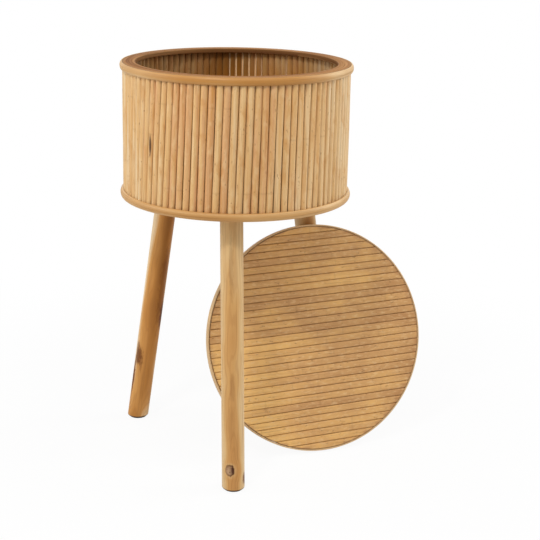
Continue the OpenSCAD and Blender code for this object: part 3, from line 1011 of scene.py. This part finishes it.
def slat(number):
    """A lid slat: a half-round strip drawn out along X, slightly wavy, with its nodes."""
    luck = random.Random(300 + number)
    nodes = [luck.uniform(-0.9, 0.9) * LID_R for _ in range(luck.choice((1, 2, 3)))]
    levels = sections(-SLAT_REACH, SLAT_REACH, SLAT_STEPS, nodes, beside=2.0 * MM)
    phase = [luck.uniform(0, 2 * math.pi) for _ in range(3)]

    def width(x):
        return 0.993 + 0.0025 * math.sin(x * 31 + phase[0]) + 0.0015 * math.sin(x * 77 + phase[1])

    def sway(x):
        return SLAT_SWAY * math.sin(x * 22 + phase[2])

    at = Vector((levels[0], sway(levels[0]), LID_BOARD_T + SLAT_T / 2))
    piece = begin(bpy.ops.mesh.primitive_plane_add, size=1, location=at, rotation=(0, math.pi / 2, 0))
    bpy.ops.transform.resize(value=(1, SLAT_W * width(levels[0]), SLAT_T), center_override=at)
    pick(piece, "VERT", lambda p: p.z > at.z)
    bpy.ops.mesh.bevel(offset=2.6 * MM, segments=6, affect="VERTICES", profile=0.60)
    pick(piece, "FACE", lambda p: True)
    for low, high in zip(levels, levels[1:]):
        step = Vector((high - low, sway(high) - sway(low), 0))
        bpy.ops.mesh.extrude_region_move(TRANSFORM_OT_translate={"value": step})
        at += step
        grow = width(high) / width(low)
        bpy.ops.transform.resize(value=(1, grow, 1), center_override=at)
    close(piece, "slat", 50)
    note(piece, "slat_side", lambda p: abs(p.y - sway(p.x)) / (SLAT_W / 2))
    note(piece, "slat_node", lambda p: nearness(p.x, nodes, 1.0 * MM))
    return piece


def trimmed(piece):
    """Cuts what lies outside the round of the lid away."""
    cutter = begin(bpy.ops.mesh.primitive_cylinder_add, vertices=256, radius=SLATS_R,
                   depth=SLAT_T + 2 * MM, location=(0, 0, LID_BOARD_T + SLAT_T / 2))
    cut_by(cutter, piece, "INTERSECT")


def slats(material):
    """All the lid's slats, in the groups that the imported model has, trimmed to the round."""
    masters = [slat(number) for number in range(SLAT_MASTERS)]
    luck = random.Random(21)
    for group in range(SLAT_GROUPS):
        parts = []
        for number in numbers_in(group, SLAT_GROUPS, SLAT_COUNT):
            y = (number + 0.5 - SLAT_COUNT / 2) * SLAT_PITCH
            tone = chosen_tone(luck, SLAT_TONE, SLAT_SCATTER)
            shift = luck.uniform(-SLAT_SHIFT, SLAT_SHIFT)
            flip = Matrix.Rotation(math.pi * luck.randrange(2), 4, "Z")
            spot = Matrix.Rotation(SLAT_SKEW, 4, "Z") @ Matrix.Translation((shift, y, 0))
            part = copied(masters[luck.randrange(SLAT_MASTERS)], spot @ flip)
            note(part, "slat_tone", tone)
            parts.append(part)
        piece = joined(parts, f"half_round_slats_{group + 1}")
        trimmed(piece)
        kept(place(piece, LID_PLACE), "lid", "slat_wood", material, f"lid_slats_{group + 1}")
    removed(masters)


def edge_strip():
    """The thin strip bent round the lid, rounded along its edges, with a butt joint below."""
    piece = oblong(Vector((LID_R - BAND_T / 2, 0, BAND_H / 2)), BAND_T, BAND_H)
    bpy.ops.mesh.select_all(action="SELECT")
    bpy.ops.mesh.bevel(offset=0.8 * MM, segments=3, affect="VERTICES")
    spun((0, 0, 0), BENT_TURN)
    close(piece, "edge_strip", 35)
    return place(piece, LID_PLACE @ Matrix.Rotation(math.radians(STRIP_JOINT), 4, "Z"))


# The lid's screws and the cross recess in their heads
SCREW_R = 110 * MM
HEAD_R = 3.5 * MM
HEAD_H = 1.75 * MM
SHANK_R = 1.75 * MM
TIP_H = 2 * MM
SCREW_LONG = 9.5 * MM
RECESS_BAR = (4.0 * MM, 0.8 * MM, 2.4 * MM)


def screws(material):
    """The four countersunk screws at the lid's back, each with a cross recess."""
    piece = begin(bpy.ops.mesh.primitive_circle_add, vertices=32, radius=HEAD_R, fill_type="NGON",
                  location=(0, 0, -LOCATOR_T))
    bpy.ops.mesh.extrude_region_move(TRANSFORM_OT_translate={"value": (0, 0, HEAD_H)})
    narrow = SHANK_R / HEAD_R
    bpy.ops.transform.resize(value=(narrow, narrow, 1), center_override=(0, 0, HEAD_H - LOCATOR_T))
    bpy.ops.mesh.extrude_region_move(TRANSFORM_OT_translate={"value": (0, 0, SCREW_LONG - HEAD_H - TIP_H)})
    bpy.ops.mesh.extrude_region_move(TRANSFORM_OT_translate={"value": (0, 0, TIP_H)})
    bpy.ops.transform.resize(value=(0.15, 0.15, 1), center_override=(0, 0, SCREW_LONG - LOCATOR_T))
    close(piece, "screw", 35)
    for turn in (0, math.pi / 2):
        bar = begin(bpy.ops.mesh.primitive_cube_add, size=1, location=(0, 0, -LOCATOR_T),
                    rotation=(0, 0, turn), scale=RECESS_BAR)
        bpy.ops.mesh.select_all(action="SELECT")
        bpy.ops.mesh.bevel(offset=0.15 * MM, segments=1, affect="EDGES")
        cut_by(bar, piece, "DIFFERENCE")
    parts = [copied(piece, LID_PLACE @ Matrix.Rotation(math.radians(45 + 90 * number), 4, "Z")
                    @ Matrix.Translation((SCREW_R, 0, 0))) for number in range(4)]
    removed([piece])
    kept(joined(parts, "lid_screw_set"), "lid", "fixing_steel", material, "lid_screws")


def build_lid(steel):
    slats(slat_wood())
    strip_wood = hoop_wood("band_wood", LID_PLACE, LID_R, STRIP_JOINT, front_shade=0.0, pale=0.45)
    kept(edge_strip(), "lid", "band_wood", strip_wood, "lid_edge_band")
    ply = ply_wood("lid_ply", LID_PLACE)
    finish_node("lid_board", ply)
    finish_node("lid_locating_disc", ply)
    screws(steel)


# The studio: a white floor, a white surround that lights all round, and four soft lamps

FLOOR_GREY = (0.80, 0.80, 0.80, 1)
# How white the floor looks near the table, and between which distances it turns all white
FLOOR_WHITE = 0.92
FLOOR_CLOSE, FLOOR_FAR = 0.35, 1.0
SURROUND = 0.56
LAMP_DISTANCE = 1.9
LAMP_TARGET = AXIS + Vector((0.05, 0, 0.3))


def white_floor():
    bpy.ops.object.select_all(action="DESELECT")
    bpy.ops.mesh.primitive_plane_add(size=60, location=(0, 0, 0))
    floor = bpy.context.object
    floor.name = "floor"
    material, tree, shader = started("floor_white", 0.0)
    shader.inputs["Base Color"].default_value = FLOOR_GREY
    shader.inputs["Roughness"].default_value = 0.9
    seen = add(tree, "LightPath").outputs["Is Camera Ray"]
    white = add(tree, "Emission", None, {"Color": (1, 1, 1, 1), "Strength": 1.0}).outputs[0]
    far = reach(tree, "LENGTH", here(tree))
    share = times(tree, seen, spread(tree, far, FLOOR_CLOSE, FLOOR_FAR, FLOOR_WHITE, 1.0))
    blend = add(tree, "MixShader", None, {0: share, 1: shader.outputs[0], 2: white})
    tree.links.new(blend.outputs[0], tree.nodes["Material Output"].inputs["Surface"])
    floor.data.materials.append(material)


def white_surround():
    world = bpy.data.worlds.new("surround")
    bpy.context.scene.world = world
    world.use_nodes = True
    tree = world.node_tree
    ground = tree.nodes["Background"]
    ground.inputs["Color"].default_value = (1, 1, 1, 1)
    path = add(tree, "LightPath")
    direct = calc(tree, "MAXIMUM", path.outputs["Is Camera Ray"], path.outputs["Is Glossy Ray"])
    clear = calc(tree, "MAXIMUM", direct, path.outputs["Is Transmission Ray"])
    strength = add(tree, "MapRange", None, {"Value": clear, "To Min": SURROUND, "To Max": 1.0})
    tree.links.new(strength.outputs["Result"], ground.inputs["Strength"])


def lamp(name, side, height, power, size):
    """A soft square lamp: side is its turn to the left of the front, height its rise, in degrees."""
    side, height = math.radians(side), math.radians(height)
    level = math.cos(height)
    outward = Vector((-math.sin(side) * level, -math.cos(side) * level, math.sin(height)))
    light = bpy.data.lights.new(name, "AREA")
    light.energy = power
    light.size = size
    holder = bpy.data.objects.new(name, light)
    bpy.context.collection.objects.link(holder)
    holder.location = LAMP_TARGET + outward * LAMP_DISTANCE
    holder.rotation_euler = outward.to_track_quat("Z", "Y").to_euler()


# The photographer's camera, from the table's axis
CAMERA_AT = Vector((-18.683, -1905.906, 847.225)) * MM
CAMERA_TURN = math.radians(2.1836)
CAMERA_DIP = math.radians(16.6270)
CAMERA_ROLL = math.radians(1.1268)
CAMERA_LENS = 87.008


def camera():
    view = bpy.data.cameras.new("camera")
    view.sensor_width = 36
    view.lens = CAMERA_LENS
    holder = bpy.data.objects.new("camera", view)
    bpy.context.collection.objects.link(holder)
    holder.location = AXIS + CAMERA_AT
    turn = Matrix.Rotation(-CAMERA_TURN, 3, "Z") @ Matrix.Rotation(math.pi / 2 - CAMERA_DIP, 3, "X")
    holder.rotation_euler = (turn @ Matrix.Rotation(CAMERA_ROLL, 3, "Z")).to_euler()
    bpy.context.scene.camera = holder
    bpy.context.scene.view_settings.view_transform = "Standard"


camera()
build_drum()
steel = fixing_steel()
build_legs(steel)
build_lid(steel)
white_floor()
white_surround()
lamp("left_lamp", side=30, height=50, power=11, size=0.22)
lamp("right_lamp", side=-25, height=55, power=4.5, size=0.5)
lamp("left_side_lamp", side=80, height=22, power=9.5, size=1.0)
lamp("right_side_lamp", side=-98, height=28, power=14.5, size=1.0)
